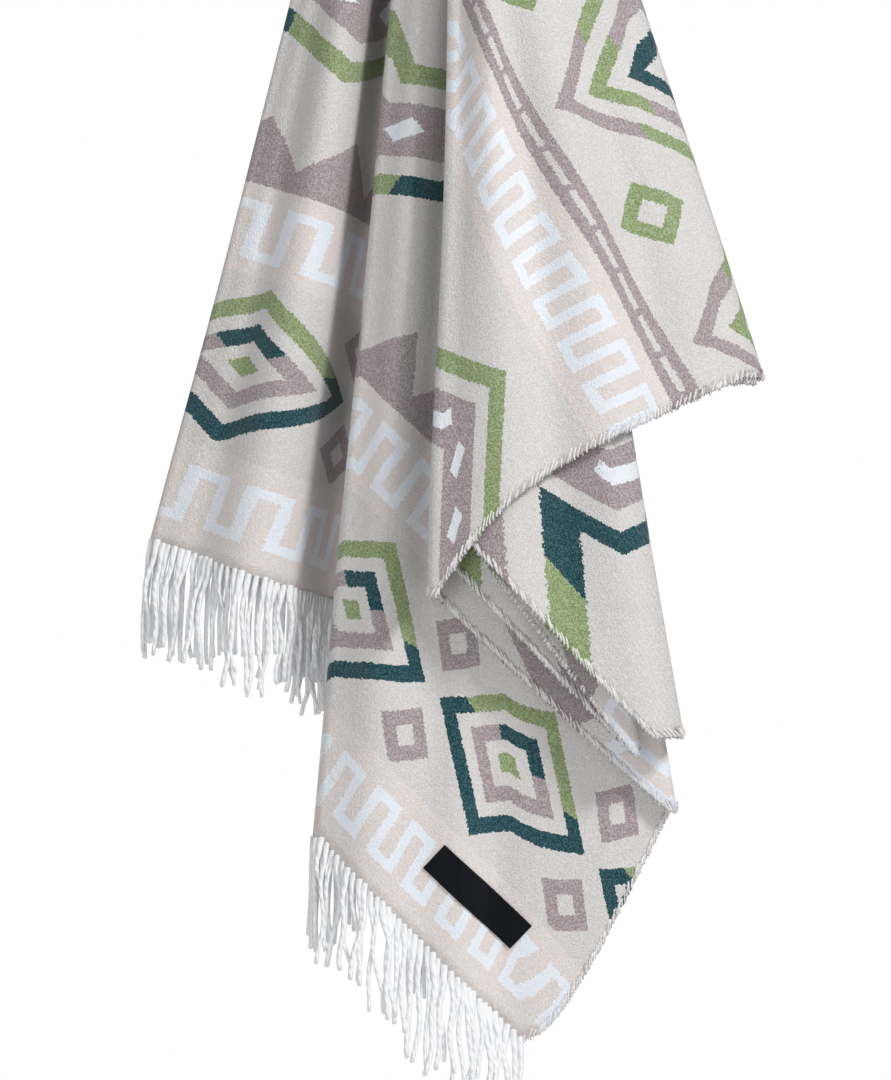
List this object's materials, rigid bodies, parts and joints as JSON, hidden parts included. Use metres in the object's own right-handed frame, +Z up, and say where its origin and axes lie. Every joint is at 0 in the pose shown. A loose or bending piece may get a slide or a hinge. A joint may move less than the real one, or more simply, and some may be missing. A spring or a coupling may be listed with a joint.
{
  "type": "fringed throw blanket",
  "caption": "Woven throw hung from the middle of its cloth, in deep pleats, with fringed ends, stitched selvedges and a plain sewn patch.",
  "frame": {"origin": "the hanging point, at the top of the gathered middle of the cloth", "axes": "+Z up along the hang; -Y towards the viewer of the front flap; +X to the viewer's right"},
  "size_m": [0.4134, 0.2205, 1.1452],
  "materials": {
    "woven_cloth": "brushed jacquard weave, matt",
    "fringe_yarn": "twisted yarn, matt",
    "label_cloth": "tight plain weave, matt"
  },
  "bodies": {
    "root": {"blanket_cloth": "woven_cloth", "fringe_first_end": "fringe_yarn", "fringe_second_end": "fringe_yarn", "label": "label_cloth"}
  },
  "joints": []
}
